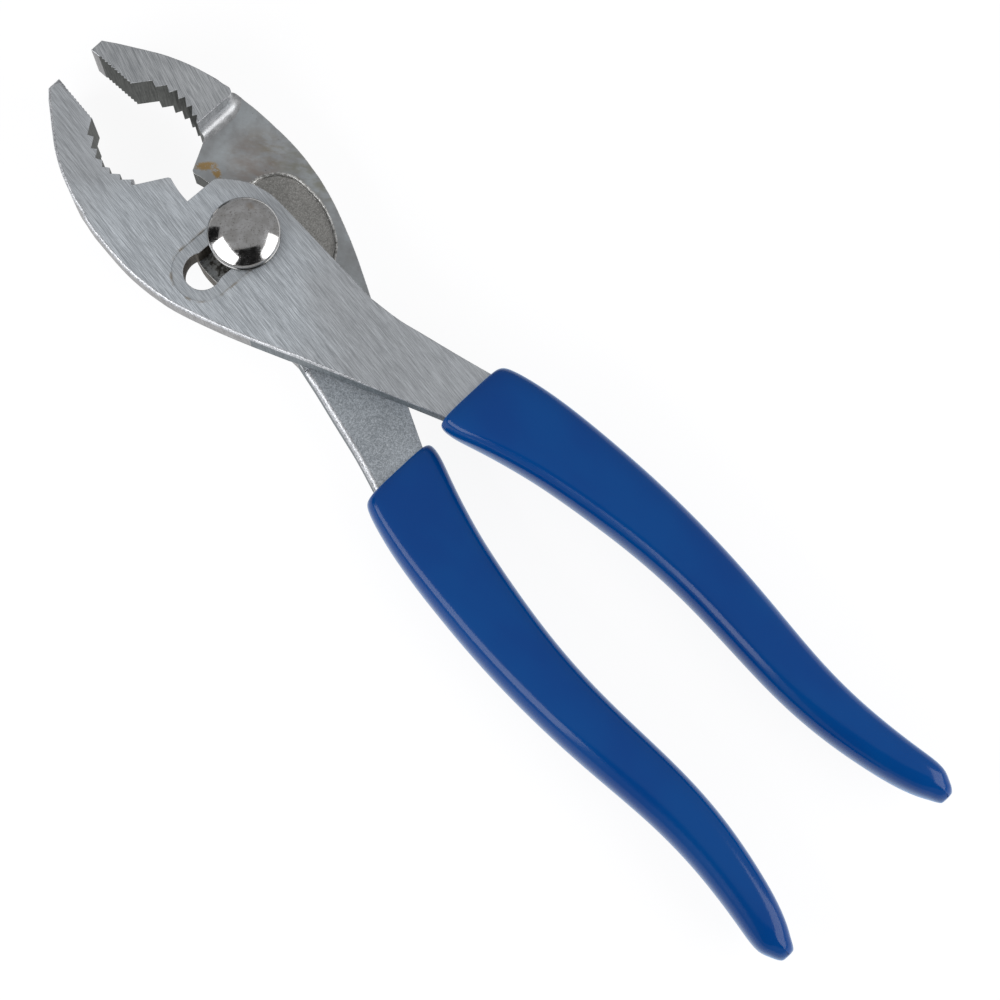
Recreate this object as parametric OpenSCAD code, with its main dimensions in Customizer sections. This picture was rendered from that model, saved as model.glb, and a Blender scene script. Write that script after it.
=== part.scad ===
/* [Reach along the tool] */
// Pivot axis to the tips of the jaws
jaw_len = 45.6; // [43:0.1:49]
// Pivot axis to the upper edge of the grips
neck_len = 49.7; // [47:0.1:54]
// Length of a dipped grip
grip_len = 109.8; // [98:0.1:122]

/* [Head] */
// Pivot axis to the outermost edge of the front half
front_reach = 19.8; // [19.2:0.1:21.2]
// Pivot axis to the outermost edge of the rear half
rear_reach = 19.2; // [18.6:0.1:20.6]
// Pivot axis to the straight inner edge of either half
boss_r = 8.85; // [8.4:0.05:9.6]
// Thickness of the front half where they lap
front_t = 5.2; // [4.4:0.1:6.2]
// Thickness of the rear half where they lap
rear_t = 6.1; // [5.2:0.1:7]
// Gap between the two lapped faces
lap_gap = 0.06; // [0.02:0.01:0.2]
// Pivot axis to the shoulder where a jaw gets its full thickness
shoulder_y = 21.6; // [21:0.1:23]
// Radius in the corner of that shoulder
shoulder_r = 2.3; // [0.8:0.1:2.6]
// Radius that rounds the outer end of that shoulder, seen from above
end_r = 2; // [1.4:0.1:2.6]
// Depth of the as-forged pocket in each lapped face
pocket_d = 0.7; // [0.3:0.1:1.2]
// Radius of the flat pad that the pocket leaves round the pivot
pad_r = 8; // [7.2:0.1:8.4]

/* [Jaws] */
// Mid line to the inner corner of a jaw tip, as drawn partly open
tip_gap = 4; // [3.6:0.1:4.6]
// Width of the blunt end of a jaw
tip_w = 2.6; // [1.8:0.1:3.4]
// Plain land between a jaw tip and its fine teeth
land_len = 1.9; // [1:0.1:3]
// Pivot axis to the end of the fine teeth
fine_y = 35.8; // [35.4:0.1:36.4]
// Mid line to the end of the fine teeth
fine_x = 4.75; // [4.5:0.05:5.2]
// Number of fine teeth
fine_count = 10; // [6:1:14]
// Depth of the fine teeth in the front jaw
front_fine_d = 0.15; // [0.05:0.05:0.4]
// Depth of the fine teeth in the rear jaw
rear_fine_d = 0.3; // [0.05:0.05:0.4]
// Pivot axis to the centre of the pipe hollow
pipe_y = 26.8; // [26.4:0.1:27.2]
// Radius of the pipe hollow in the front jaw, to the points of its teeth
front_pipe_r = 8.8; // [8.4:0.1:9.2]
// Radius of the pipe hollow in the rear jaw, to the points of its teeth
rear_pipe_r = 9.2; // [8.8:0.1:9.5]
// Depth of the coarse teeth
tooth_d = 1; // [0.6:0.1:1.3]

/* [Wire cutter] */
// Mid line to the cutting lip
lip_x = 2.2; // [2:0.1:2.6]
// Pivot axis to the cutting lip of the front jaw
front_lip_y = 17.3; // [16.6:0.1:18]
// Pivot axis to the cutting lip of the rear jaw
rear_lip_y = 16.8; // [16.2:0.1:17.6]
// Width of the blunt edge along a cutting lip
lip_flat = 0.5; // [0.2:0.1:0.8]
// Mid line to the root of the notch below the lip
notch_x = 3; // [2.8:0.1:3.3]
// Pivot axis to the root of the notch
notch_y = 12; // [11.6:0.1:12.6]

/* [Pivot] */
// Radius of the pivot bolt's shank
bolt_r = 3.4; // [3:0.05:3.6]
// Half the distance across the two flats on the shank
flat_half = 2.95; // [2.6:0.05:2.95]
// Radius of the bolt's thread
thread_r = 2.9; // [2.5:0.05:2.95]
// Radial clearance of the bolt in its round bore
bore_clear = 0.05; // [0.02:0.01:0.09]
// Clearance of the bolt in the slot
slot_clear = 0.09; // [0.04:0.01:0.15]
// Radial clearance between the thread and the nut
nut_clear = 0.03; // [0.01:0.01:0.06]
// Distance between the two places of the bolt in the slot
slot_travel = 10; // [9:0.1:10.4]
// Slope of the slot against the square across the tool
slot_slope = 2.6; // [0:0.1:5]
// Half width of the shallow track round the slot
track_r = 5.7; // [5:0.1:6.2]
// Depth of that track
track_d = 0.2; // [0.1:0.05:0.4]
// Radius of the domed bolt head
head_r = 6.6; // [6.3:0.1:7.2]
// Height of the straight rim under the dome
rim_h = 2.2; // [0.8:0.1:2.6]
// Step from the rim in to the dome
rim_step = 0.05; // [0.05:0.05:0.6]
// Height of the dome above its rim
dome_h = 2.6; // [2:0.1:3.4]
// Width of the nut across its flats
nut_af = 10; // [9:0.5:12]
// Height of the nut
nut_h = 2.3; // [2:0.1:3.6]

/* [Grips] */
// Mid line to the outermost edge of the front grip
front_grip_reach = 22.9; // [22:0.1:25]
// Mid line to the outermost edge of the rear grip
rear_grip_reach = 23.4; // [22:0.1:25]
// Greatest thickness of a grip
grip_t = 11.4; // [10.2:0.1:12.4]
// Squareness of a grip's section, where 2 is an ellipse
grip_square = 2.7; // [2.2:0.1:3.4]
// Thickness of either grip inside the steel at its upper edge
inner_dip = 1.45; // [1:0.05:2]
// Thickness of the front grip outside the steel at its upper edge
front_dip = 4; // [3:0.1:4.6]
// Thickness of the rear grip outside the steel at its upper edge
rear_dip = 3.8; // [3:0.1:4.4]
// Thickness of the tang along the middle of a grip
tang_t = 5.2; // [4:0.1:6]
// Thickness of grip left round the edges of the tang inside it
grip_wall = 2.4; // [2:0.1:3]

/* [Hidden] */
$fn = 96;
over = 1;
z_back = nut_h;
z_mid = z_back + rear_t;
z_front = z_mid + front_t;
steel = [0.62, 0.64, 0.66];
forged = [0.55, 0.56, 0.57];
chrome = [0.75, 0.76, 0.78];
vinyl = [0.08, 0.25, 0.52];

// Outer edge of the front half from the jaw tip down to the neck, as shares of
// its reach across and of the jaw above the pivot or the neck below it
front_edge_shares = [[0.415, 0.961], [0.638, 0.827], [0.726, 0.765], [0.806, 0.693],
    [0.884, 0.596], [0.902, 0.56], [0.919, 0.52], [0.934, 0.507], [0.947, 0.489],
    [0.961, 0.457], [0.972, 0.418], [0.993, 0.268], [0.985, 0.171],
    [0.951, 0.066], [0.888, -0.038], [0.719, -0.218], [0.518, -0.4], [0.459, -0.449]];
// The same edge of the rear half
rear_edge_shares = [[0.437, 0.944], [0.638, 0.809], [0.728, 0.736], [0.803, 0.657],
    [0.868, 0.565], [0.878, 0.541], [0.888, 0.52], [0.912, 0.512], [0.944, 0.5],
    [0.959, 0.475], [0.966, 0.45], [0.974, 0.424], [0.985, 0.379], [0.995, 0.298], [1, 0.219], [0.998, 0.167], [0.987, 0.105],
    [0.966, 0.043], [0.939, -0.019], [0.875, -0.111], [0.784, -0.209],
    [0.696, -0.294], [0.568, -0.4], [0.487, -0.465]];
// Inner edge from the wire cutter round the boss, as shares of the boss radius
// across and of the depth of the notch or the length of the neck
boss_edge_shares = [[0.23, 0.982], [0.4, 0.967], [0.53, 0.88], [0.625, 0.8],
    [0.775, 0.652], [0.88, 0.51], [0.945, 0.36], [1.005, 0.13], [1, -0.1]];
// Inner edge on down the neck of each half, shared the same way
front_neck_shares = [[0.955, -0.49], [1.05, -0.615], [1.19, -0.715], [1.385, -0.85]];
rear_neck_shares = [[0.95, -0.45], [1.084, -0.57], [1.233, -0.686], [1.436, -0.848]];
// Visible limit of the forged pocket, as shares of the boss radius, and the
// corners that close it under the other half
pocket_edge_shares = [[0.6, 0.97], [0.98, 0.87], [1.2, 0.83], [1.48, 0.645],
    [1.66, 0.355], [1.7, -0.08], [1.67, -0.47], [1.54, -0.85], [1.33, -1.22],
    [1.04, -1.47]];
pocket_corner_shares = [[0.8, -2.6], [-0.6, -2.9], [-0.6, -1.2], [-0.2, 0]];
// Coarse teeth round the pipe hollow, roots and points in turn: how far round
// the arc, and how deep as a share of the depth of a tooth
front_teeth_shares = [[0, 1.61], [0.031, 0.42], [0.181, 1.23], [0.217, 0.15],
    [0.325, 1.11], [0.401, 0.2], [0.473, 0.92], [0.551, 0.06], [0.61, 0.84],
    [0.734, -0.13], [0.772, 0.78], [0.948, -0.04], [0.969, 0.94]];
rear_teeth_shares = [[0, 1.24], [0.058, 0.1], [0.201, 1.07], [0.276, -0.07],
    [0.351, 1.1], [0.451, -0.08], [0.496, 1], [0.63, -0.04], [0.648, 1],
    [0.786, 0.12], [0.796, 1.02], [0.893, 0.5], [1, 1.3]];
// Where that arc starts and ends, in degrees from square across the tool
front_arc = [43.8, -39];
rear_arc = [39.3, -38.3];
// A grip from its upper edge to its end: how far along it, then its inner edge
// and outer edge as shares of its reach, half thickness, and how far it stays
// lifted to the level of its own half
grip_shares = [[-0.003, 0.086, 0.7, 0.5, 1], [0.001, 0.064, 0.732, 0.58, 1],
    [0.008, 0.051, 0.761, 0.66, 1], [0.03, 0.068, 0.798, 0.74, 1],
    [0.06, 0.12, 0.836, 0.8, 0.96], [0.1, 0.186, 0.878, 0.86, 0.84],
    [0.15, 0.257, 0.915, 0.9, 0.66], [0.2, 0.317, 0.944, 0.94, 0.5],
    [0.3, 0.406, 0.988, 0.98, 0.24], [0.4, 0.468, 1, 1, 0.08],
    [0.5, 0.485, 0.988, 1, 0], [0.6, 0.465, 0.948, 0.98, 0],
    [0.7, 0.449, 0.899, 0.95, 0], [0.8, 0.487, 0.897, 0.93, 0],
    [0.9, 0.589, 0.955, 0.9, 0], [0.94, 0.651, 0.99, 0.86, 0],
    [0.965, 0.701, 0.994, 0.79, 0], [0.98, 0.742, 0.96, 0.68, 0],
    [0.99, 0.777, 0.925, 0.54, 0], [0.997, 0.81, 0.888, 0.35, 0],
    [1, 0.838, 0.857, 0.12, 0]];
// Where along a grip the edges of the steel are set out: for its upper edge, at
// the level of the neck and at mid plane
dip_share = 0.03;
neck_tang_shares = [0.08, 0.2, 0.28];
core_tang_shares = [0.22, 0.34, 0.48, 0.62, 0.76, 0.88];
// Where the rounding of a shoulder's outer end begins, as a share of the reach
front_end_share = 0.818;
rear_end_share = 0.784;
// How far down a fine tooth its root lies
fine_share = 0.6;
spline_steps = 5;
grip_steps = 2;
grip_sides = 32;

// A smooth curve through the points, with n steps to a span
function spline(p, n) = concat(
    [for (i = [0:len(p) - 2]) for (k = [0:n - 1])
        pass(p[max(i - 1, 0)], p[i], p[i + 1], p[min(i + 2, len(p) - 1)], k / n)],
    [p[len(p) - 1]]);
function pass(a, b, c, d, t) =
    b + (c - a) * t / 2
    + (a - b * 5 / 2 + c * 2 - d / 2) * t * t
    + ((b - c) * 3 + d - a) * t * t * t / 2;
function flip(p) = [for (q = p) [-q[0], q[1]]];
function reversed(p) = [for (i = [len(p) - 1:-1:0]) p[i]];
function set_out(s, wide, up) =
    [for (q = s) [q[0] * wide, q[1] * (q[1] < 0 ? neck_len : up)]];

// One row of a grip at a share of its length
function grip_row(s) = let (
    i = max([for (k = [0:len(grip_shares) - 2]) grip_shares[k][0] <= s ? k : 0]),
    a = grip_shares[i],
    b = grip_shares[i + 1])
    a + (b - a) * (s - a[0]) / (b[0] - a[0]);
// Corners of the tang where it passes those places, its inner or its outer edge
function tang_edge(at_shares, reach, side) = [for (s = at_shares)
    [grip_row(s)[side] * reach + (side == 1 ? grip_wall : -grip_wall),
        -neck_len - s * grip_len]];
function tang_loop(at_shares, reach) = flip(concat(
    tang_edge(at_shares, reach, 2),
    reversed(tang_edge(at_shares, reach, 1))));

// Fine teeth from a to b, cut to a depth on the right of the way down
function fine_teeth(a, b, deep) = [for (i = [0:fine_count - 1]) for (k = [0, 1])
    a + (b - a) * (i + k * fine_share) / fine_count + [k * deep, 0]];
function coarse_teeth(r, arc, teeth_shares) = [for (q = teeth_shares) let (
    a = arc[0] + (arc[1] - arc[0]) * q[0],
    rad = r + tooth_d * q[1])
    [rad * cos(a), pipe_y + rad * sin(a)]];
// Curved back of the cutting notch, from the lip to the notch's root
function notch_back(lip_y) = let (
    a = [lip_x, lip_y],
    b = [notch_x, (lip_y + notch_y) / 2],
    c = [notch_x, notch_y])
    [for (t = [0:0.2:1]) a * (1 - t) * (1 - t) + b * 2 * t * (1 - t) + c * t * t];

// What sets the two halves apart: outer edge, neck, teeth and arc of the hollow,
// then reach, hollow radius, fine tooth depth, lip height, grip wall, grip reach,
// thickness where the halves lap, and where across the shoulder's end is rounded
front_set = [front_edge_shares, front_neck_shares, front_teeth_shares, front_arc,
    front_reach, front_pipe_r, front_fine_d, front_lip_y, front_dip,
    front_grip_reach, front_t, front_end_share];
rear_set = [rear_edge_shares, rear_neck_shares, rear_teeth_shares, rear_arc,
    rear_reach, rear_pipe_r, rear_fine_d, rear_lip_y, rear_dip,
    rear_grip_reach, rear_t, rear_end_share];

// One half seen from above, with its jaw on the right: from the tip down its
// inner edge, round the boss, down into the grip and back up outside
function half_outline(set) = let (
    tip = [tip_gap, jaw_len],
    fine_end = [fine_x, fine_y],
    fine_start = tip + (fine_end - tip) * land_len / (jaw_len - fine_y),
    lip_y = set[7],
    dip = grip_row(dip_share) * set[9],
    boss = flip(set_out(boss_edge_shares, boss_r, notch_y)),
    neck = flip(concat(set_out(set[1], boss_r, notch_y), [[dip[2] - set[8], -neck_len]])))
    concat(
        [tip],
        fine_teeth(fine_start, fine_end, set[6]),
        [fine_end],
        coarse_teeth(set[5], set[3], set[2]),
        [[lip_x + lip_flat / 2, lip_y + lip_flat]],
        notch_back(lip_y),
        spline(boss, spline_steps),
        spline(neck, spline_steps),
        tang_loop(neck_tang_shares, set[9]),
        [[-dip[1] - inner_dip, -neck_len]],
        reversed(spline(set_out(set[0], set[4], jaw_len), spline_steps)),
        [[tip_gap + tip_w, jaw_len]]);

// Round-cornered space that the other half's lap takes out of a blank, below
// the mid plane as drawn
module lap_space(other_t, end_x) {
    wide = 3 * (front_reach + rear_reach);
    deep = neck_len + grip_len + over;
    top = z_mid + lap_gap / 2;
    bottom = z_mid - other_t - over;
    translate([end_x, shoulder_y + end_r, 0])
        rotate([0, 0, -90]) rotate_extrude(angle = 90) {
            translate([end_r + shoulder_r, bottom])
                square([end_r + shoulder_r, top - bottom]);
            translate([end_r, bottom])
                square([shoulder_r, top - shoulder_r - bottom]);
            translate([end_r + shoulder_r, top - shoulder_r]) circle(r = shoulder_r);
        }
    translate([-wide / 2, -deep, bottom])
        cube([wide, deep + shoulder_y - shoulder_r, top - bottom]);
    translate([-wide / 2, -deep, bottom])
        cube([wide, deep + shoulder_y, top - shoulder_r - bottom]);
    translate([-wide / 2, shoulder_y - shoulder_r, top - shoulder_r])
        rotate([0, 90, 0]) cylinder(r = shoulder_r, h = wide);
}

// Forged pocket in a lapped face, round the pad that bears on the other half,
// which is as long as the travel asks
module pocket(pad_travel) {
    wide = front_grip_reach + rear_grip_reach;
    translate([0, 0, z_mid - over])
        linear_extrude(over + lap_gap / 2 + pocket_d)
            difference() {
                union() {
                    polygon(boss_r * concat(
                        spline(pocket_edge_shares, spline_steps),
                        pocket_corner_shares));
                    translate([-wide, -neck_len - grip_len])
                        square([2 * wide, grip_len + neck_len / 2]);
                }
                circle(r = pad_r);
                translate([pad_travel, 0]) circle(r = pad_r);
                translate([0, -pad_r]) square([pad_travel + over, 2 * pad_r]);
            }
}

// A half with its jaw on the right and its lapped face looking down
module half(set, other_t, pad_travel) {
    difference() {
        translate([0, 0, z_mid - other_t])
            linear_extrude(other_t + set[10]) polygon(half_outline(set));
        lap_space(other_t, set[4] * set[11]);
        pocket(pad_travel);
    }
    translate([0, 0, z_mid - tang_t / 2])
        linear_extrude(tang_t) polygon(tang_loop(core_tang_shares, set[9]));
}

module along_slot() {
    rotate([0, 0, -slot_slope]) children();
}

module slot_hole() {
    for (x = [0, slot_travel])
        translate([-x, 0, z_mid - over])
            cylinder(r = bolt_r + slot_clear, h = front_t + 2 * over);
    translate([-slot_travel, -flat_half - slot_clear, z_mid - over])
        cube([slot_travel, 2 * (flat_half + slot_clear), front_t + 2 * over]);
}

module slot_track() {
    for (x = [0, slot_travel])
        translate([-x, 0, z_front - track_d]) cylinder(r = track_r, h = over);
    translate([-slot_travel, -track_r, z_front - track_d])
        cube([slot_travel, 2 * track_r, over]);
}

module front_half() {
    color(steel) difference() {
        mirror([1, 0, 0])
            half(front_set, rear_t, slot_travel);
        along_slot() {
            slot_hole();
            slot_track();
        }
    }
}

module rear_half() {
    color(forged) difference() {
        translate([0, 0, 2 * z_mid])
            mirror([0, 0, 1])
                half(rear_set, front_t, 0);
        translate([0, 0, z_back - over])
            cylinder(r = bolt_r + bore_clear, h = rear_t + 2 * over);
    }
}

// Round shank in the rear half, flatted where it runs in the slot
module shank() {
    difference() {
        translate([0, 0, z_back])
            cylinder(r = bolt_r, h = rear_t + front_t + rim_h / 2);
        along_slot()
            for (y = [flat_half, -flat_half - bolt_r])
                translate([-bolt_r - over, y, z_mid])
                    cube([2 * (bolt_r + over), bolt_r, front_t + rim_h / 4]);
    }
}

module pivot_bolt() {
    dome_base = head_r - rim_step;
    dome_r = (dome_base * dome_base + dome_h * dome_h) / (2 * dome_h);
    z_dome = z_front + rim_h;
    color(chrome) {
        cylinder(r = thread_r, h = z_mid);
        shank();
        translate([0, 0, z_front]) cylinder(r = head_r, h = rim_h);
        intersection() {
            translate([0, 0, z_dome - rim_step / 4]) cylinder(r = head_r, h = dome_r);
            translate([0, 0, z_dome + dome_h - dome_r]) sphere(r = dome_r);
        }
    }
}

module pivot_nut() {
    corner = nut_af / sqrt(3);
    color(chrome) difference() {
        intersection() {
            cylinder(r = corner, h = nut_h, $fn = 6);
            cylinder(r1 = nut_af / 2, r2 = nut_af / 2 + 2 * nut_h, h = nut_h);
        }
        translate([0, 0, -over]) cylinder(r = thread_r + nut_clear, h = nut_h + 2 * over);
    }
}

// A dipped grip on the right of the mid line, lifted to the level of its half
function grip_ring(row, reach, lift) = let (
    xi = row[1] * reach,
    xo = row[2] * reach,
    ht = row[3] * grip_t / 2,
    zc = z_mid + lift * row[4])
    [for (k = [0:grip_sides - 1]) let (
        a = 360 * k / grip_sides,
        c = cos(a),
        s = sin(a))
        [(xi + xo) / 2 + (xo - xi) / 2 * sign(c) * pow(abs(c), 2 / grip_square),
            -neck_len - row[0] * grip_len,
            zc + ht * sign(s) * pow(abs(s), 2 / grip_square)]];

module grip(reach, lift) {
    rings = [for (row = spline(grip_shares, grip_steps)) grip_ring(row, reach, lift)];
    last = len(rings) - 1;
    polyhedron(
        points = [for (r = rings) for (p = r) p],
        faces = concat(
            [[for (k = [0:grip_sides - 1]) k]],
            [for (i = [0:last - 1]) for (k = [0:grip_sides - 1]) for (h = [0, 1]) let (
                a = i * grip_sides + k,
                b = i * grip_sides + (k + 1) % grip_sides)
                h == 0 ? [b, a, a + grip_sides] : [b, a + grip_sides, b + grip_sides]],
            [[for (k = [grip_sides - 1:-1:0]) last * grip_sides + k]]));
}

module front_grip() {
    color(vinyl) difference() {
        grip(front_grip_reach, (front_t + pocket_d) / 2);
        front_half();
    }
}

module rear_grip() {
    color(vinyl) difference() {
        mirror([1, 0, 0]) grip(rear_grip_reach, -(rear_t + pocket_d) / 2);
        rear_half();
    }
}

front_half();
rear_half();
pivot_bolt();
pivot_nut();
front_grip();
rear_grip();
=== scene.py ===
import math
import bmesh
import bpy
from mathutils import Matrix, Vector


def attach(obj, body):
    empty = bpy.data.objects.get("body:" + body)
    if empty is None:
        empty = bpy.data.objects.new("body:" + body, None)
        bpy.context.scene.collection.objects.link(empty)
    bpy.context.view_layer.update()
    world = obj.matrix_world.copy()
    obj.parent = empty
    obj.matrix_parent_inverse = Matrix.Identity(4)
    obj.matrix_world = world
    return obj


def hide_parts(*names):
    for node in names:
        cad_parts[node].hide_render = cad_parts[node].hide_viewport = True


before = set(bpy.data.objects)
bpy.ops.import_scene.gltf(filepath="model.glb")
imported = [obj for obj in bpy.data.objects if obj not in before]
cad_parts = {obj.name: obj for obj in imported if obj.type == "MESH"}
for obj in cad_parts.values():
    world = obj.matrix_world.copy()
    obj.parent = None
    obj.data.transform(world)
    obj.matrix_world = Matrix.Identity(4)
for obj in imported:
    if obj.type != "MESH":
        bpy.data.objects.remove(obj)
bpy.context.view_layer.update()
mm = 0.001
zMid = 8.4  # where the two halves lap
# The slot between the two places of the bolt: slope in degrees, the rest in mm
slotShape = {"slope": -2.6, "shift": 10.0, "radius": 3.49, "track": 5.7, "ring": 5.75}
print("frame loaded")


def clearHands():
    if bpy.context.object and bpy.context.object.mode != "OBJECT":
        bpy.ops.object.mode_set(mode="OBJECT")
    bpy.ops.object.select_all(action="DESELECT")


def takeUp(piece):
    clearHands()
    piece.select_set(True)
    bpy.context.view_layer.objects.active = piece


def openUp(piece):
    takeUp(piece)
    bpy.ops.object.mode_set(mode="EDIT")


def closeUp():
    bpy.ops.object.mode_set(mode="OBJECT")


def addModifier(piece, kind, **settings):
    made = piece.modifiers.new(kind.lower(), kind)
    for name, value in settings.items():
        setattr(made, name, value)
    takeUp(piece)
    bpy.ops.object.modifier_apply(modifier=made.name)


def smoothBy(piece, degrees):
    takeUp(piece)
    bpy.ops.object.shade_smooth_by_angle(angle=math.radians(degrees), keep_sharp_edges=False)
    addModifier(piece, "WEIGHTED_NORMAL", mode="FACE_AREA", keep_sharp=True)


# A colour as it looks on a screen, 0 to 255
def paint(red, green, blue):
    def linear(value):
        share = value / 255
        return share / 12.92 if share <= 0.04045 else ((share + 0.055) / 1.055) ** 2.4
    return (linear(red), linear(green), linear(blue), 1)


# One output of a node. Sums with it add Math nodes
class Wire:
    def __init__(self, recipe, socket):
        self.recipe = recipe
        self.socket = socket

    def math(self, operation, *others):
        return self.recipe.node("ShaderNodeMath", {"operation": operation}, (self, *others))

    def __add__(self, other):
        return self.math("ADD", other)

    def __sub__(self, other):
        return self.math("SUBTRACT", other)

    def __mul__(self, other):
        return self.math("MULTIPLY", other)

    def __rsub__(self, other):
        return self.recipe.node("ShaderNodeMath", {"operation": "SUBTRACT"}, (other, self))

    __radd__, __rmul__ = __add__, __mul__

    # Another output of the same node
    def beside(self, output):
        return Wire(self.recipe, self.socket.node.outputs[output])

    # 0 below low and 1 above high, with a soft step between
    def step(self, low, high):
        return self.recipe.node(
            "ShaderNodeMapRange", {"interpolation_type": "SMOOTHSTEP"}, (self, low, high, 0.0, 1.0))


class Recipe:
    def __init__(self, tree):
        self.tree = tree

    # Every new node: its type, its settings, then values or wires for its sockets
    def node(self, kind, settings=None, feeds=(), output=0):
        made = self.tree.nodes.new(kind)
        for name, value in (settings or {}).items():
            setattr(made, name, value)
        pairs = feeds.items() if isinstance(feeds, dict) else enumerate(feeds)
        for socket, value in pairs:
            if isinstance(value, Wire):
                self.tree.links.new(value.socket, made.inputs[socket])
            else:
                made.inputs[socket].default_value = value
        return Wire(self, made.outputs[output])

    def show(self, wire, outputName):
        self.tree.links.new(wire.socket, self.tree.nodes[outputName].inputs["Surface"])


class Finish(Recipe):
    def __init__(self, name, **fixed):
        self.material = bpy.data.materials.new(name)
        self.material.use_nodes = True
        super().__init__(self.material.node_tree)
        self.shader = self.tree.nodes["Principled BSDF"]
        for socketName, value in fixed.items():
            self.shader.inputs[socketName.replace("_", " ")].default_value = value
        self.place = self.node("ShaderNodeTexCoord", output="Object")

    def feed(self, socketName, wire):
        self.tree.links.new(wire.socket, self.shader.inputs[socketName])

    # Object coordinates turned about Z and measured in grains of this size, in mm
    def laid(self, turn, grain, centre=(0, 0, 0)):
        return self.node("ShaderNodeMapping", {"vector_type": "TEXTURE"}, {
            0: self.place, 1: [c * mm for c in centre],
            2: (0, 0, math.radians(turn)), 3: [g * mm for g in grain]})

    # The same as three wires in mm
    def axes(self, turn=0):
        x = self.node("ShaderNodeSeparateXYZ", {}, (self.laid(turn, (1, 1, 1)),))
        return x, x.beside(1), x.beside(2)

    def noise(self, turn, grain, detail, rough=0.5):
        return self.node("ShaderNodeTexNoise", {}, {
            "Vector": self.laid(turn, grain), "Scale": 1.0, "Detail": detail, "Roughness": rough})

    # Noise with round grains
    def clouds(self, grain, detail, rough=0.5):
        return self.noise(0, (grain, grain, grain), detail, rough)

    def mix(self, share, first, second):
        return self.node("ShaderNodeMix", {"data_type": "RGBA"}, {0: share, 6: first, 7: second},
                         output=2)

    # A round patch with a ragged border, 1 in the middle
    def patch(self, ragged, centre, size, turn=0.0):
        far = self.node("ShaderNodeVectorMath", {"operation": "LENGTH"},
                        (self.laid(turn, size, centre),), output=1)
        return 1 - (far + (ragged - 0.5) * 1.3).step(0.55, 1.0)

    def bump(self, height, depth, strength):
        self.feed("Normal", self.node("ShaderNodeBump", {}, {
            "Strength": strength, "Distance": depth * mm, "Height": height}))


# The dim grey of the painted shade round the front half's lit place
paintedShadeTint = (158, 156, 156)


# Belt-ground steel: fine streaks one way, a few deeper scratches, and painted shade everywhere but one
# round place, which keeps the painted light
def groundSteel(name, turn, light, dark, bright=None, stains=None):
    steel = Finish(name, Metallic=1.0)
    broad = steel.noise(turn, (0.5, 11, 4), 2.0)
    streak = steel.noise(turn, (0.1, 7, 4), 2.0, 0.6)
    hair = steel.noise(turn + 2, (0.06, 3, 4), 2.0, 0.7)
    scratch = steel.noise(turn + 9, (0.1, 6, 4), 1.0).step(0.7, 0.76)
    gouge = steel.noise(turn - 4, (0.16, 9, 4), 1.0).step(0.7, 0.76)
    cloud = steel.clouds(18, 2.0)
    tone = (broad - 0.5) * 0.25 + (streak - 0.5) * 1.25 + (hair - 0.5) * 1.9 + (cloud - 0.5) * 0.4
    colour = steel.mix((tone + 0.5).step(0.05, 0.95), paint(*dark), paint(*light))
    colour = steel.mix(scratch * 0.5, colour, paint(*light))
    colour = steel.mix(gouge * 0.4, colour, paint(*dark))
    # Painted shade: outside the lit patch the steel is mixed towards a dim grey
    if bright:
        paintedShade = 1 - steel.patch(cloud, **bright)
        colour = steel.mix(paintedShade * 0.32, colour, paint(*paintedShadeTint))
    if stains:
        colour = stains(steel, colour)
    steel.feed("Base Color", colour)
    steel.feed("Roughness", 0.5 + (hair - 0.5) * 0.3 + (broad - 0.5) * 0.16)
    steel.bump(streak * 0.6 + hair * 0.5 - scratch * 0.3, 0.014, 0.6)
    return steel.material


ringTint = (150, 134, 110)


# The thin brown ring at the border of the slot's track
def trackRing(steel, colour):
    along, across, _ = steel.axes(slotShape["slope"])
    past = along - along.math("MAXIMUM", -slotShape["shift"]).math("MINIMUM", 0.0)
    far = (past * past + across * across).math("SQRT")
    ragged = steel.clouds(2.4, 3.0)
    off = (far - slotShape["ring"] + (ragged - 0.5) * 0.5).math("ABSOLUTE")
    ring = (1 - off.step(0.05, 0.4)) * ragged.step(0.42, 0.62)
    return steel.mix(ring * 0.6, colour, paint(*ringTint))


# Milled or broached walls: streaks from face to face
def cutSteel(name, light, dark, rough, deep=0.02):
    steel = Finish(name, Metallic=1.0)
    streak = steel.noise(0, (0.22, 0.22, 5), 2.0, 0.6)
    soot = steel.noise(0, (1.4, 1.4, 1.8), 4.0, 0.6)
    colour = steel.mix((streak * 0.55 + soot * 0.45).step(0.3, 0.68), paint(*dark), paint(*light))
    steel.feed("Base Color", colour)
    steel.feed("Roughness", rough + (soot - 0.5) * 0.3)
    steel.bump(streak, deep, 0.6)
    return steel.material


# Near-white of the painted glints on blasted steel
paintedGlintTint = (226, 228, 230)


# Shot-blasted forging skin: matt grains with painted glints on a few, and paler down the neck
def blastedSteel(name, light, dark, grain, rough, paintedGlints, paler=None):
    steel = Finish(name, Metallic=1.0)
    fine = steel.clouds(grain, 2.0, 0.6)
    pits = steel.clouds(grain * 2.6, 3.0, 0.55)
    cloud = steel.noise(0, (9, 12, 9), 2.0)
    # Painted glints: a few grains turned near-white and less rough
    paintedGlint = fine.step(0.6, 0.72) * paintedGlints
    tone = ((fine - 0.5) * 1.5 + (pits - 0.5) * 0.7 + (cloud - 0.5) * 0.5 + 0.5).step(0.1, 0.9)
    colour = steel.mix(tone, paint(*dark), paint(*light))
    if paler:
        down = (paler["fromY"] - steel.axes()[1]).step(0, paler["over"])
        colour = steel.mix(down, colour, steel.mix(tone, paint(*paler["dark"]), paint(*paler["light"])))
    steel.feed("Base Color", steel.mix(paintedGlint, colour, paint(*paintedGlintTint)))
    steel.feed("Roughness", rough - paintedGlint * 0.25 + (pits - 0.5) * 0.15)
    steel.bump(fine * 0.7 + pits, 0.07, 0.6)
    return steel.material


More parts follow.
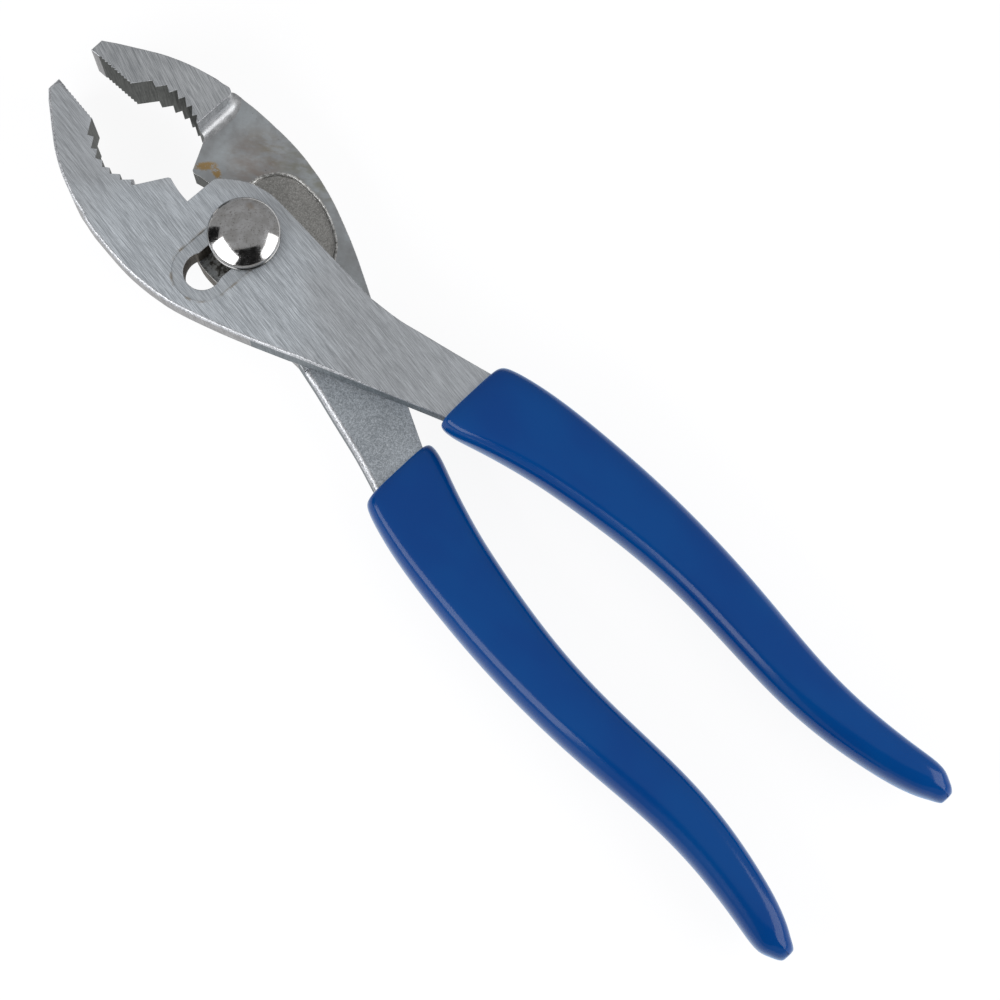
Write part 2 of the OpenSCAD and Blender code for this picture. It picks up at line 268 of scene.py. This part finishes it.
lapTints = {"dark": (170, 172, 174), "light": (196, 202, 206), "rubbed": (150, 151, 150),
            "stain": (150, 122, 100), "grease": (136, 130, 98), "pit": (86, 82, 78),
            "grime": (62, 58, 50), "film": (176, 176, 170), "rust": (150, 116, 42)}
# Centre and size of each stain in mm, and its turn in degrees
lapSpots = {
    "stain": {"centre": (12, 10.5, 8), "size": (8, 7, 8), "turn": 40},
    "grease": {"centre": (17.3, 2, 8), "size": (4, 17, 8), "turn": 10},
    "grime": {"centre": (0, 0, zMid), "size": (10.5, 10.5, 4)},
    "rustBand": {"centre": (4.8, 16.2, zMid), "size": (2.6, 1.0, 2), "turn": -40},
    "rustTail": {"centre": (5.3, 13.9, zMid), "size": (1.0, 1.5, 2), "turn": -14},
}


# Lapped faces: smooth, with tea-brown stains and rust at the cutter's lip
def lappedSteel(name):
    tints = {key: paint(*tint) for key, tint in lapTints.items()}
    steel = Finish(name, Metallic=1.0)
    fine = steel.noise(20, (0.35, 0.6, 1), 4.0, 0.65)
    cloud = steel.clouds(5, 4.0, 0.6)
    blots = steel.noise(35, (1.6, 4.0, 2), 5.0, 0.6)
    colour = steel.mix(cloud.step(0.3, 0.7), tints["dark"], tints["light"])
    colour = steel.mix((fine - 0.3) * 0.5, colour, tints["rubbed"])
    stain = steel.patch(blots, **lapSpots["stain"]) * blots.step(0.3, 0.7)
    colour = steel.mix(stain * 0.42, colour, tints["stain"])
    grease = steel.patch(blots, **lapSpots["grease"]) * blots.step(0.38, 0.7)
    colour = steel.mix(grease * 0.5, colour, tints["grease"])
    pit = steel.clouds(0.7, 1.0).step(0.76, 0.8)
    colour = steel.mix(pit * 0.5, colour, tints["pit"])
    crust = steel.clouds(0.9, 4.0, 0.65)
    grime = steel.patch(crust, **lapSpots["grime"])
    dirt = steel.mix(crust.step(0.4, 0.62), tints["grime"], tints["film"])
    colour = steel.mix(grime * 0.9, colour, dirt)
    flakes = steel.clouds(0.8, 4.0, 0.7)
    band = steel.patch(flakes, **lapSpots["rustBand"])
    tail = steel.patch(flakes, **lapSpots["rustTail"])
    rust = band.math("MAXIMUM", tail) * flakes.step(0.36, 0.46)
    colour = steel.mix(rust * 0.85, colour, tints["rust"])
    steel.feed("Base Color", colour)
    steel.feed("Roughness", 0.5 + rust * 0.3 + (cloud - 0.5) * 0.2 + stain * 0.1)
    steel.feed("Metallic", 1 - rust * 0.75)
    steel.bump(fine + rust * 0.8 - pit + grime * crust * 9, 0.014, 0.6)
    return steel.material


plateTints = {"dull": (180, 179, 178), "bright": (202, 202, 203), "speck": (112, 106, 100),
              "brown": (158, 136, 112), "flankShade": (78, 77, 76)}
brownSpot = {"centre": (3.9, 1.9, 15), "size": (1.2, 2.6, 3)}
# The heights in mm between which the head's flank gets painted shade, and those where it ends
flankShadeZ = {"from": (13, 13.3), "to": (15.6, 15.95)}


# Bright plating, worn dull in places, with specks and hair scratches, and painted shade on the head's
# flank
def brightPlating(name):
    tints = {key: paint(*tint) for key, tint in plateTints.items()}
    plate = Finish(name, Metallic=1.0)
    dull = plate.clouds(2.2, 5.0, 0.65)
    specks = plate.clouds(0.34, 3.0, 0.6).step(0.57, 0.66)
    hair = plate.noise(34, (0.05, 2.4, 3), 2.0).step(0.66, 0.72)
    brown = plate.patch(dull, **brownSpot)
    colour = plate.mix(dull.step(0.35, 0.65), tints["dull"], tints["bright"])
    colour = plate.mix(specks * 0.6, colour, tints["speck"])
    colour = plate.mix(brown * 0.4, colour, tints["brown"])
    high = plate.axes()[2]
    # Painted shade: a dark band round the flank of the bolt's head
    flankShade = high.step(*flankShadeZ["from"]) * (1 - high.step(*flankShadeZ["to"]))
    colour = plate.mix(flankShade * 0.75, colour, tints["flankShade"])
    plate.feed("Base Color", colour)
    plate.feed("Roughness", 0.09 + dull.step(0.4, 0.7) * 0.09 + specks * 0.12 + hair * 0.1)
    plate.bump(dull * 0.6 - specks * 0.12 + hair * 0.04, 0.03, 0.15)
    return plate.material


vinylTints = {"deep": (1, 59, 127), "light": (0, 65, 132), "dust": (90, 120, 165),
              "sheen": (0, 136, 196)}


# Dipped vinyl: deep blue, glossy, very slightly wavy
def blueVinyl(name):
    tints = {key: paint(*tint) for key, tint in vinylTints.items()}
    vinyl = Finish(name, Metallic=0.0, IOR=1.34, Sheen_Weight=1.0, Sheen_Roughness=0.3,
                   Sheen_Tint=tints["sheen"])
    wave = vinyl.noise(0, (9, 16, 9), 2.0, 0.4)
    peel = vinyl.noise(0, (1.1, 1.6, 1.1), 2.0, 0.4)
    dust = vinyl.clouds(0.3, 1.0).step(0.78, 0.84)
    scuff = vinyl.noise(24, (0.12, 6, 3), 2.0).step(0.72, 0.78)
    colour = vinyl.mix(wave.step(0.3, 0.7), tints["deep"], tints["light"])
    colour = vinyl.mix(dust * 0.1, colour, tints["dust"])
    vinyl.feed("Base Color", colour)
    vinyl.feed("Roughness", 0.15 + (peel - 0.5) * 0.05 + dust * 0.1 + scuff * 0.08)
    vinyl.bump(wave + peel * 0.03, 0.25, 0.25)
    return vinyl.material


# Which way each half was ground, in degrees
grinding = {"front": -6.3, "rear": -17}
# Where the front half keeps its painted light, with painted shade round it, in mm and degrees
paintedLightSpot = {"centre": (-12, 1, 14), "size": (24, 32, 20), "turn": 12}
# From where down, and over how many mm, the neck turns paler
paleNeck = {"fromY": -17, "over": 9, "light": (206, 212, 218), "dark": (148, 154, 160)}
finishes = {
    "frontGround": groundSteel("frontGroundSteel", grinding["front"], light=(240, 246, 252),
                               dark=(176, 182, 188), bright=paintedLightSpot, stains=trackRing),
    "rearGround": groundSteel("rearGroundSteel", grinding["rear"], light=(220, 223, 226),
                              dark=(154, 158, 162)),
    "track": groundSteel("trackSteel", grinding["front"], light=(226, 231, 236),
                         dark=(172, 178, 184), stains=trackRing),
    "lap": lappedSteel("lappedSteel"),
    "wall": cutSteel("groundEdgeSteel", light=(176, 176, 177), dark=(136, 136, 137), rough=0.58),
    "neckWall": cutSteel("forgedEdgeSteel", light=(138, 145, 150), dark=(102, 108, 112), rough=0.62),
    "teeth": cutSteel("broachedSteel", light=(110, 112, 110), dark=(68, 70, 68), rough=0.62,
                      deep=0.03),
    # Dark brown walls: dirt together with painted shade inside the slot and the bolt's hole, and painted
    # shade on the rear half's wall beside its bearing pad
    "slot": cutSteel("slotDirtPaintedShadeSteel", light=(112, 106, 98), dark=(50, 46, 41), rough=0.6, deep=0.03),
    "shoulder": cutSteel("shoulderSteel", light=(196, 197, 199), dark=(151, 153, 155), rough=0.42),
    "edge": blastedSteel("wornEdgeSteel", light=(222, 224, 228), dark=(146, 148, 152),
                         grain=0.3, rough=0.5, paintedGlints=0.7),
    "pocket": blastedSteel("forgedPocketSteel", light=(199, 198, 195), dark=(150, 149, 146),
                           grain=0.2, rough=0.6, paintedGlints=0.3, paler=paleNeck),
    # The pocket's walls and rim: a painted highlight, lighter than the pocket, with the most painted
    # glints
    "rim": blastedSteel("forgedRimPaintedHighlightSteel", light=(250, 250, 248), dark=(150, 149, 146),
                        grain=0.42, rough=0.44, paintedGlints=1.0),
    "plating": brightPlating("brightPlating"),
    "vinyl": blueVinyl("blueVinyl"),
}
print("finishes mixed")


# Where the forms of a half lie, in mm: heights along Y, reaches out from the middle line
halfShape = {
    "pipeY": 26.8, "pipeReach": 10.9, "fineY": (35.4, 43.6), "fineReach": 5.35,
    "notchY": (11.6, 18.4), "notchReach": 3.7,
    "shoulderY": (19.2, 21.75), "endReach": 15, "endY": 23.7, "underY": 24.6,
    "wingY": 16, "wingReach": 12, "neckY": -16, "gripY": -49.0, "padY": 9, "padReach": 11,
}
# How deep they lie, in mm from the lapped face towards the ground one
depths = {"ground": 5.15, "track": 4.9, "back": -5, "pocket": 0.6, "pocketWall": (0.08, 0.68),
          "rim": 0.3, "rimTop": 1.75, "shoulder": 0.02}
# What counts as level, facing down or steep, as near in mm, and as sharp or smooth in degrees
limits = {"level": 0.35, "down": -0.2, "steep": 0.6, "near": 0.3, "sharp": 20, "smooth": 34}
# What joins the triangles of a CAD node: closeness in mm and levelness in degrees
joining = {"close": 0.002, "level": 0.4}
# The end of the rear shoulder, which is squarer at its upper edge than at its foot
squareEnd = {"centre": (15.053, 23.6), "radius": 2, "near": 0.1, "above": 13, "grow": 0.3}
# How wide the edges are rounded, in mm
edgeWidths = {"slot": 0.12, "tooth": 0.05, "inner": 0.1, "rim": 0.6, "floor": 0.06}
halves = {
    "front_half": {"piece": "frontHalf", "body": "front", "side": 1, "ground": "frontGround",
                   "outer": 0.55, "neck": 0.35},
    "rear_half": {"piece": "rearHalf", "body": "rear", "side": -1, "ground": "rearGround",
                  "outer": 0.16, "neck": 1.0},
}
# Rounded edges start with the first of these
halfFinishes = ["edge", "ground", "track", "lap", "wall", "neckWall", "teeth", "slot", "shoulder",
                "pocket", "rim"]


# A point of a half as its reach, its height and its depth, in mm
def placeOn(half, point):
    x, y, z = point / mm
    return -x * half["side"], y, (z - zMid) * half["side"]


# How far a place is from the line between the two places of the bolt, in mm
def fromSlot(x, y):
    turn = math.radians(slotShape["slope"])
    end = Vector((-slotShape["shift"] * math.cos(turn), -slotShape["shift"] * math.sin(turn)))
    share = max(0, min(1, (x * end.x + y * end.y) / end.length_squared))
    return math.hypot(x - share * end.x, y - share * end.y)


def between(pair, value):
    return pair[0] < value < pair[1]


# The toothed bows and the cutter of a jaw
def inMouth(out, y):
    inPipe = math.hypot(out, y - halfShape["pipeY"]) < halfShape["pipeReach"]
    inFine = between(halfShape["fineY"], y) and out < halfShape["fineReach"]
    inNotch = between(halfShape["notchY"], y) and out < halfShape["notchReach"]
    return inPipe or inFine or inNotch


# The shoulder of a jaw with its rounded outer end, below the lapped face
def onShoulder(out, y, depth):
    last = halfShape["shoulderY"][1]
    onEnd = out > halfShape["endReach"] and last <= y < halfShape["endY"]
    return depth < depths["shoulder"] and (between(halfShape["shoulderY"], y) or onEnd)


def outwardFinish(depth, onTrack):
    if depth > depths["ground"]:
        return "ground"
    return "track" if onTrack else "edge"


def inwardFinish(out, y, depth):
    if depth < depths["back"]:
        return "ground"
    if onShoulder(out, y, depth):
        return "shoulder"
    return "pocket" if depth > depths["pocket"] else "lap"


# Which finish a face of a half gets, by its place and the way it faces
def finishOf(centre, normal, half):
    out, y, depth = placeOn(half, centre)
    front = half["side"] > 0
    facing = normal.z * half["side"]
    fromPivot = fromSlot(-out, y) if front else math.hypot(out, y)
    onTrack = front and depth > depths["track"] and fromPivot < slotShape["track"] + limits["near"]
    # Walls of the slot and of the bolt's hole get the dark slot steel: dirt with painted shade
    if abs(facing) < limits["level"] and fromPivot < slotShape["radius"] + limits["near"]:
        return "slot"
    if facing > limits["level"]:
        return outwardFinish(depth, onTrack)
    if facing < -limits["level"]:
        return inwardFinish(out, y, depth)
    if onShoulder(out, y, depth) and normal.y < limits["down"]:
        return "shoulder"
    if between(depths["pocketWall"], depth) and y < halfShape["shoulderY"][0]:
        return "rim" if y > halfShape["neckY"] else "pocket"
    if inMouth(out, y):
        return "teeth"
    if onTrack:
        return "track"
    # Painted shade: the rear half's wall beside its bearing pad, in the gap under the front half, gets
    # the dark slot steel
    if not front and y < halfShape["padY"] and fromPivot < halfShape["padReach"] and out < 0:
        return "slot"
    return "neckWall" if y < halfShape["neckY"] else "wall"


# Which finish a rounded edge of a half gets
def edgeFinishOf(centre, normal, half):
    _, y, depth = placeOn(half, centre)
    if 0 < depth < depths["rimTop"] and y > halfShape["neckY"]:
        return "rim"
    under = depth <= 0 and y < halfShape["underY"]
    return "shoulder" if under and abs(normal.y) > limits["steep"] else "edge"


# How wide an edge between two faces is rounded, in mm
def edgeWidth(edge, half):
    if len(edge.link_faces) != 2 or edge.calc_face_angle(0) < math.radians(limits["sharp"]):
        return 0
    names = {finishOf(f.calc_center_median(), f.normal, half) for f in edge.link_faces}
    first, last = (vert.co for vert in edge.verts)
    out, y, depth = placeOn(half, (first + last) / 2)
    upright = abs(first.z - last.z) > limits["near"] * mm
    if upright or y < halfShape["gripY"]:
        return 0
    if "slot" in names:
        return edgeWidths["slot"]
    if "track" in names:
        return 0
    if "teeth" in names or (names == {"ground", "wall"} and inMouth(out, y)):
        return edgeWidths["tooth"]
    if "rim" in names:
        return edgeWidths["rim"] if depth < depths["rim"] else edgeWidths["floor"]
    if "pocket" in names:
        return half["neck"] if len(names) > 1 and depth > depths["rim"] else half["outer"]
    if "ground" in names:
        onWing = out >= halfShape["wingReach"] or y >= halfShape["wingY"]
        outside = out >= 0 if y < halfShape["neckY"] else onWing
        return half["outer"] if outside else edgeWidths["inner"]
    return edgeWidths["inner"] if "lap" in names else 0


def roundEdges(piece, widthOf, clamped=False):
    openUp(piece)
    cage = bmesh.from_edit_mesh(piece.data)
    layer = cage.edges.layers.float.new("bevel_weight_edge")
    for edge in cage.edges:
        edge[layer] = widthOf(edge)
    bmesh.update_edit_mesh(piece.data)
    closeUp()
    addModifier(piece, "BEVEL", width=1 * mm, limit_method="WEIGHT", segments=3,
                offset_type="OFFSET", use_clamp_overlap=clamped, material=0, loop_slide=True)


# A copy of a CAD node with its triangles joined up to whole faces
def joinedCopy(nodeName, pieceName):
    piece = bpy.data.objects.new(pieceName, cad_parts[nodeName].data.copy())
    bpy.context.scene.collection.objects.link(piece)
    piece.data.materials.clear()
    openUp(piece)
    bpy.ops.mesh.select_all(action="SELECT")
    bpy.ops.mesh.remove_doubles(threshold=joining["close"] * mm)
    bpy.ops.mesh.customdata_custom_splitnormals_clear()
    bpy.ops.mesh.dissolve_limited(angle_limit=math.radians(joining["level"]))
    closeUp()
    return piece


# Pushes the upper edge of the rear shoulder's end outwards, most at 45 degrees
def squareCorner(piece):
    endX, endY = squareEnd["centre"]
    openUp(piece)
    for vert in bmesh.from_edit_mesh(piece.data).verts:
        away = Vector((vert.co.x / mm - endX, vert.co.y / mm - endY))
        onEnd = abs(away.length - squareEnd["radius"]) < squareEnd["near"] and away.x > 0 > away.y
        if onEnd and vert.co.z > squareEnd["above"] * mm:
            grow = 1 + squareEnd["grow"] * math.sin(2 * math.atan2(-away.y, away.x))
            vert.co.x = (endX + away.x * grow) * mm
            vert.co.y = (endY + away.y * grow) * mm
    bmesh.update_edit_mesh(piece.data)
    closeUp()


# Gives each face that still has the first finish the one that pick names
def dress(piece, half, pick):
    openUp(piece)
    for face in bmesh.from_edit_mesh(piece.data).faces:
        if face.material_index == 0:
            found = pick(face.calc_center_median(), face.normal, half)
            face.material_index = halfFinishes.index(found)
    closeUp()


def makeHalf(nodeName, half):
    piece = joinedCopy(nodeName, half["piece"])
    if half["side"] < 0:
        squareCorner(piece)
    for name in halfFinishes:
        piece.data.materials.append(finishes[half["ground"] if name == "ground" else name])
    dress(piece, half, finishOf)
    roundEdges(piece, lambda edge: edgeWidth(edge, half))
    dress(piece, half, edgeFinishOf)
    smoothBy(piece, limits["smooth"])
    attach(piece, half["body"])
    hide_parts(nodeName)
    print(piece.name, "made of", len(piece.data.polygons), "faces")


for nodeName, half in halves.items():
    makeHalf(nodeName, half)


# Rows are (radius, height) in mm
boltShape = {
    "sides": 96, "flatHalf": 2.95, "smooth": 32,
    "head": [(3.2, 13.6), (6.46, 13.6), (6.58, 13.64), (6.62, 13.74), (6.62, 14.1), (6.58, 14.22),
             (6.48, 14.28), (6.42, 14.34), (6.42, 14.42), (6.5, 14.7), (6.61, 15.1), (6.67, 15.5),
             (6.66, 15.7), (6.62, 15.8)],
    "domeHigh": 2.58, "domeSteps": 18, "domeTip": 0.12,
    "shank": [(0.9, 0.35), (2.5, 0.02), (2.66, 0.06), (2.88, 0.3), (2.9, 0.4), (2.9, 2.35),
              (3.3, 2.35), (3.4, 2.45), (3.4, 8.4)],
    "flats": [(3.4, 8.3), (3.4, 13.7)],
}
nutShape = {"edge": 0.14, "sharp": 25, "smooth": 34}


# Turns a profile round the Z axis, ring by ring
def turned(pieceName, rows, sides):
    clearHands()
    bpy.ops.mesh.primitive_circle_add(vertices=sides, radius=rows[0][0] * mm, fill_type="NGON",
                                      location=(0, 0, rows[0][1] * mm))
    piece = bpy.context.object
    piece.name = pieceName
    bpy.ops.object.transform_apply(location=True, rotation=True, scale=True)
    openUp(piece)
    bpy.ops.mesh.select_all(action="SELECT")
    for before, row in zip(rows, rows[1:]):
        wider = row[0] / before[0]
        rise = (0, 0, (row[1] - before[1]) * mm)
        bpy.ops.mesh.extrude_region_move(TRANSFORM_OT_translate={"value": rise})
        bpy.ops.transform.resize(value=(wider, wider, 1), center_override=(0, 0, row[1] * mm))
    bpy.ops.mesh.select_all(action="SELECT")
    bpy.ops.mesh.normals_make_consistent(inside=False)
    closeUp()
    return piece


# The dome starts at the last row of the head
def domeRows(shape):
    base, foot = shape["head"][-1]
    high, steps = shape["domeHigh"], shape["domeSteps"]
    radius = (base ** 2 + high ** 2) / (2 * high)
    widest = math.asin(base / radius)
    rows = []
    for step in range(1, steps):
        angle = widest * (1 - step / steps)
        rows.append((radius * math.sin(angle), foot + radius * math.cos(angle) - radius + high))
    rows.append((shape["domeTip"], foot + high))
    return rows


# Cuts the two flats off a turned shank
def flatten(piece, half, slope):
    openUp(piece)
    turn = Matrix.Rotation(math.radians(slope), 3, "Z")
    for side in (1, -1):
        bpy.ops.mesh.select_all(action="SELECT")
        normal = turn @ Vector((0, side, 0))
        bpy.ops.mesh.bisect(plane_co=normal * half * mm, plane_no=normal, use_fill=True,
                            clear_outer=True)
    closeUp()


def makeBolt(shape):
    head = turned("pivotBolt", shape["head"] + domeRows(shape), shape["sides"])
    shank = turned("boltShank", shape["shank"], shape["sides"])
    flats = turned("boltFlats", shape["flats"], shape["sides"])
    flatten(flats, shape["flatHalf"], slotShape["slope"])
    clearHands()
    for part in (head, shank, flats):
        part.select_set(True)
    bpy.context.view_layer.objects.active = head
    bpy.ops.object.join()
    head.data.materials.clear()
    head.data.materials.append(finishes["plating"])
    smoothBy(head, shape["smooth"])
    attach(head, "pivot")
    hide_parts("pivot_bolt")


def nutEdgeWidth(edge):
    sharp = edge.calc_face_angle(0) > math.radians(nutShape["sharp"])
    return nutShape["edge"] if sharp and len(edge.link_faces) == 2 else 0


def makeNut(shape):
    nut = joinedCopy("pivot_nut", "pivotNut")
    nut.data.materials.append(finishes["plating"])
    roundEdges(nut, nutEdgeWidth, clamped=True)
    smoothBy(nut, shape["smooth"])
    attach(nut, "pivot")
    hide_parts("pivot_nut")


makeBolt(boltShape)
makeNut(nutShape)
print("bolt and nut made")


# Sizes in mm. Rows from the upper edge to the end: share of the length, inner and outer edge
# as shares of the reach, share of the thickness, share of the lift, rounding of the corners
gripShape = {
    "neckLen": 49.7, "gripLen": 109.8, "thick": 11.4, "ringGap": 0.05,
    "rows": [
        (-0.003, 0.086, 0.7, 0.5, 1, 0.4), (0.001, 0.064, 0.732, 0.6, 1, 0.42),
        (0.008, 0.051, 0.761, 0.68, 1, 0.45), (0.03, 0.068, 0.798, 0.76, 1, 0.48),
        (0.06, 0.12, 0.836, 0.81, 0.96, 0.5), (0.1, 0.186, 0.878, 0.86, 0.84, 0.53),
        (0.15, 0.257, 0.915, 0.9, 0.66, 0.58), (0.2, 0.317, 0.944, 0.94, 0.5, 0.63),
        (0.3, 0.406, 0.988, 0.98, 0.24, 0.72), (0.4, 0.468, 1, 1, 0.08, 0.8),
        (0.5, 0.485, 0.988, 1, 0, 0.84), (0.6, 0.465, 0.948, 0.98, 0, 0.86),
        (0.7, 0.449, 0.899, 0.95, 0, 0.86), (0.8, 0.487, 0.897, 0.93, 0, 0.86),
        (0.9, 0.589, 0.955, 0.9, 0, 0.86), (0.94, 0.651, 0.99, 0.86, 0, 0.86),
        (0.965, 0.701, 0.994, 0.79, 0, 0.8), (0.98, 0.742, 0.96, 0.68, 0, 0.72),
        (0.99, 0.766, 0.94, 0.62, 0, 0.62), (0.997, 0.786, 0.918, 0.49, 0, 0.55),
        (1, 0.802, 0.898, 0.37, 0, 0.5)],
}
grips = {
    "front_grip": {"piece": "frontGrip", "body": "front", "side": 1, "reach": 22.9, "lift": 2.95},
    "rear_grip": {"piece": "rearGrip", "body": "rear", "side": -1, "reach": 23.4, "lift": -3.4},
}


# Where one row of a grip lies: centre, half width and half thickness, in mm
def stationOf(row, grip):
    share, inner, outer, thick, lift, _ = row
    reach = grip["reach"]
    centre = Vector((grip["side"] * (inner + outer) / 2 * reach,
                     -gripShape["neckLen"] - share * gripShape["gripLen"],
                     zMid + lift * grip["lift"]))
    return centre, (outer - inner) / 2 * reach, thick * gripShape["thick"] / 2


# How wide an edge along a grip is rounded, in mm. The rings are left as they are
def cornerWidth(edge, grip):
    rows = gripShape["rows"]
    ends = sorted(-vert.co.y / mm for vert in edge.verts)
    if ends[1] - ends[0] <= gripShape["ringGap"]:
        return 0
    share = ((ends[0] + ends[1]) / 2 - gripShape["neckLen"]) / gripShape["gripLen"]
    after = next((row for row in rows if row[0] > share), rows[-1])
    return min(stationOf(after, grip)[1:]) * after[-1]


# Lofts a grip from row to row as a square tube
def loftGrip(grip):
    rows = gripShape["rows"]
    centre, wide, thick = stationOf(rows[0], grip)
    clearHands()
    bpy.ops.mesh.primitive_plane_add(size=2 * mm, rotation=(math.radians(90), 0, 0),
                                     location=centre * mm)
    piece = bpy.context.object
    piece.name = grip["piece"]
    bpy.ops.object.transform_apply(location=True, rotation=True, scale=True)
    openUp(piece)
    bpy.ops.mesh.select_all(action="SELECT")
    bpy.ops.transform.resize(value=(wide, 1, thick), center_override=centre * mm)
    for row in rows[1:]:
        before = centre, wide, thick
        centre, wide, thick = stationOf(row, grip)
        wider = (wide / before[1], 1, thick / before[2])
        bpy.ops.mesh.extrude_region_move(TRANSFORM_OT_translate={"value": (centre - before[0]) * mm})
        bpy.ops.transform.resize(value=wider, center_override=centre * mm)
    bpy.ops.mesh.select_all(action="SELECT")
    bpy.ops.mesh.normals_make_consistent(inside=False)
    cage = bmesh.from_edit_mesh(piece.data)
    layer = cage.edges.layers.float.new("bevel_weight_edge")
    for edge in cage.edges:
        edge[layer] = cornerWidth(edge, grip)
    bmesh.update_edit_mesh(piece.data)
    closeUp()
    return piece


def makeGrip(nodeName, grip):
    piece = loftGrip(grip)
    addModifier(piece, "BEVEL", width=1 * mm, limit_method="WEIGHT", segments=2, offset_type="OFFSET",
                use_clamp_overlap=False, loop_slide=True)
    addModifier(piece, "SUBSURF", levels=3, render_levels=3)
    piece.data.materials.append(finishes["vinyl"])
    takeUp(piece)
    bpy.ops.object.shade_smooth()
    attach(piece, grip["body"])
    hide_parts(nodeName)
    print(piece.name, "made of", len(piece.data.polygons), "faces")


for nodeName, grip in grips.items():
    makeGrip(nodeName, grip)


# Places and sizes in mm, angles in degrees. Lamps and cards stand round the aim and face it
studio = {
    "aim": (0, 0, 14), "worldGlow": 0.42, "floorSide": 4000, "floorLit": (236, 236, 236),
    "floorSeen": (100, 100, 102), "floorGlow": 0.9,
    "camera": {"place": (-79.16, -148.77, 537.2), "lens": 108.7, "sensor": 36, "clip": (10, 20000),
               "right": (0.72018, -0.69379, 0), "up": (0.678, 0.704, 0.2113),
               "back": (-0.1466, -0.1522, 0.9774)},
    "boxes": [
        {"name": "leftSoftbox", "azimuth": 171.5, "rise": 33.5, "far": 250, "size": (270, 142),
         "glow": 3.75},
        {"name": "rightSoftbox", "azimuth": -62, "rise": 26, "far": 420, "size": (400, 250),
         "glow": 3.0}],
    "flags": [
        {"name": "lowerFlag", "azimuth": -122, "rise": 43, "far": 420, "size": (470, 320), "grey": 20},
        {"name": "leftFlag", "azimuth": 125, "rise": 11, "far": 420, "size": (200, 330), "grey": 20},
        {"name": "upperFlag", "azimuth": 44, "rise": 0, "far": 95, "size": (250, 56), "grey": 165}],
}


def asPlaced(light):
    azimuth, rise = math.radians(light["azimuth"]), math.radians(light["rise"])
    way = Vector((math.cos(azimuth) * math.cos(rise), math.sin(azimuth) * math.cos(rise), math.sin(rise)))
    place = Vector(studio["aim"]) + way * light["far"]
    return place * mm, way.to_track_quat("Z", "Y").to_euler()


def makeSoftbox(box):
    clearHands()
    place, turn = asPlaced(box)
    bpy.ops.object.light_add(type="AREA", location=place, rotation=turn)
    lamp = bpy.context.object
    lamp.name = box["name"]
    lamp.data.shape = "RECTANGLE"
    lamp.data.size, lamp.data.size_y = (s * mm for s in box["size"])
    lamp.data.energy = box["glow"] * math.pi * lamp.data.size * lamp.data.size_y
    lamp.visible_camera = False


# A grey card that only shows in reflections
def makeFlag(flag):
    clearHands()
    place, turn = asPlaced(flag)
    bpy.ops.mesh.primitive_plane_add(size=1, location=place, rotation=turn)
    card = bpy.context.object
    card.name = flag["name"]
    card.scale = (flag["size"][0] * mm, flag["size"][1] * mm, 1)
    dull = Finish(flag["name"], Roughness=1.0, Base_Color=paint(flag["grey"], flag["grey"], flag["grey"]))
    card.data.materials.append(dull.material)
    card.visible_camera = card.visible_diffuse = card.visible_shadow = False


# A pale floor that glows where it is seen, straight or in a mirror, and is matt to other light
def makeFloor():
    clearHands()
    bpy.ops.mesh.primitive_plane_add(size=studio["floorSide"] * mm)
    floor = bpy.context.object
    floor.name = "paleFloor"
    pale = Finish("paleFloor")
    onCamera = pale.node("ShaderNodeLightPath", output="Is Camera Ray")
    mirrored = onCamera.beside("Is Glossy Ray").math("MAXIMUM", onCamera.beside("Is Transmission Ray"))
    matt = pale.node("ShaderNodeBsdfDiffuse", {}, (paint(*studio["floorLit"]),))
    thin = pale.node("ShaderNodeBsdfDiffuse", {}, (paint(*studio["floorSeen"]),))
    glow = pale.node("ShaderNodeEmission", {}, ((1, 1, 1, 1), studio["floorGlow"]))
    shown = pale.node("ShaderNodeAddShader", {}, (thin, glow))
    both = pale.node("ShaderNodeMixShader", {}, (onCamera.math("MAXIMUM", mirrored), matt, shown))
    pale.show(both, "Material Output")
    floor.data.materials.append(pale.material)


# White to the camera and dimmer as a light
def makeWorld():
    world = bpy.data.worlds.new("studioWorld")
    bpy.context.scene.world = world
    world.use_nodes = True
    sky = Recipe(world.node_tree)
    dim = sky.node("ShaderNodeBackground", {}, ((1, 1, 1, 1), studio["worldGlow"]))
    white = sky.node("ShaderNodeBackground", {}, ((1, 1, 1, 1), 1.0))
    onCamera = sky.node("ShaderNodeLightPath", output="Is Camera Ray")
    sky.show(sky.node("ShaderNodeMixShader", {}, (onCamera, dim, white)), "World Output")


def makeCamera(look):
    clearHands()
    bpy.ops.object.camera_add()
    camera = bpy.context.object
    turn = Matrix((look["right"], look["up"], look["back"])).transposed().to_4x4()
    camera.matrix_world = Matrix.Translation(Vector(look["place"]) * mm) @ turn
    camera.data.lens = look["lens"]
    camera.data.sensor_width = look["sensor"]
    camera.data.clip_start, camera.data.clip_end = (reach * mm for reach in look["clip"])
    bpy.context.scene.camera = camera


for box in studio["boxes"]:
    makeSoftbox(box)
for flag in studio["flags"]:
    makeFlag(flag)
makeFloor()
makeWorld()
makeCamera(studio["camera"])
bpy.context.scene.view_settings.view_transform = "Standard"
clearHands()
print("studio set")
